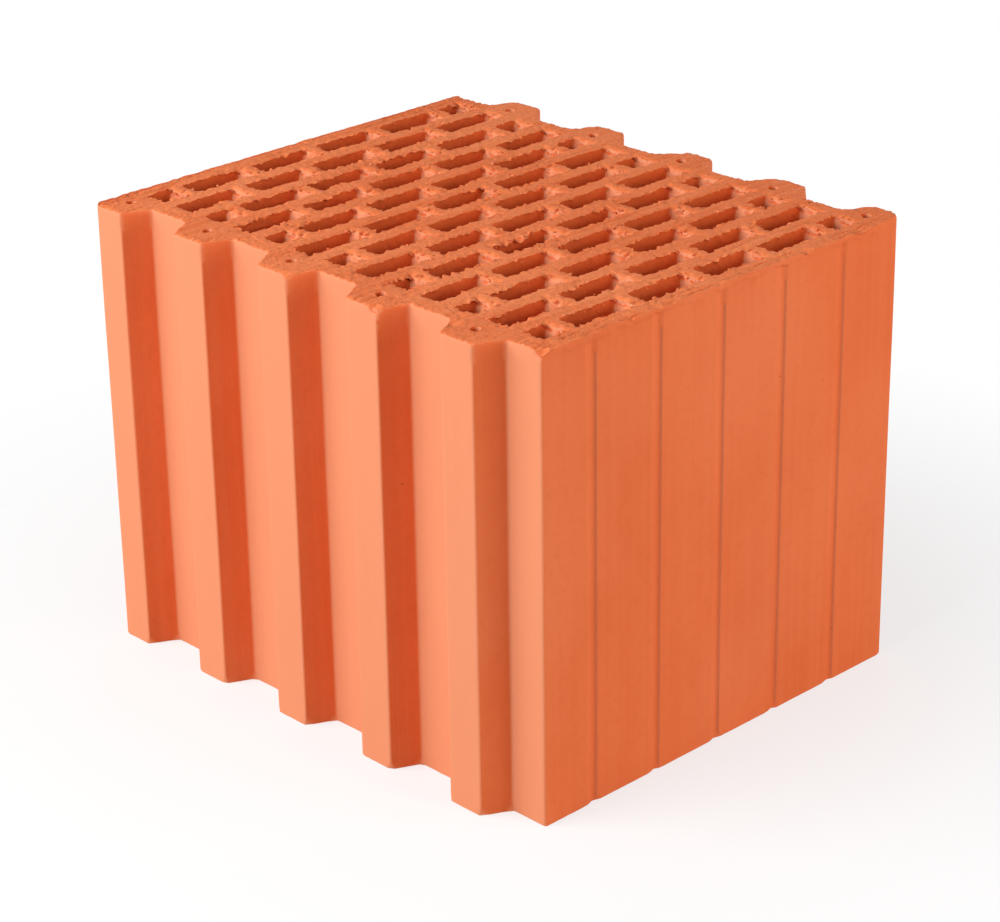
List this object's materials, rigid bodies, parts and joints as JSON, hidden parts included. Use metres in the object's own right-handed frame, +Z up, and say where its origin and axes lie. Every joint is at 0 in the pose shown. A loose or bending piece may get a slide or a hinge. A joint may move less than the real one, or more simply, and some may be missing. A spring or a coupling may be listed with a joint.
{
  "type": "hollow clay block",
  "caption": "Fired hollow clay wall block with vertical holes in staggered rows, flat finely grooved faces and tongue-and-groove ends.",
  "frame": {"origin": "centre of the wire-cut bed face at the bottom", "axes": "+X along the wall, through the tongue-and-groove ends; +Y across the wall, from flat face to flat face; +Z up along the holes"},
  "size_m": [0.2624, 0.3, 0.238],
  "materials": {
    "fired_clay": "matt fired"
  },
  "bodies": {
    "root": {"clay_block": "fired_clay"}
  },
  "joints": []
}
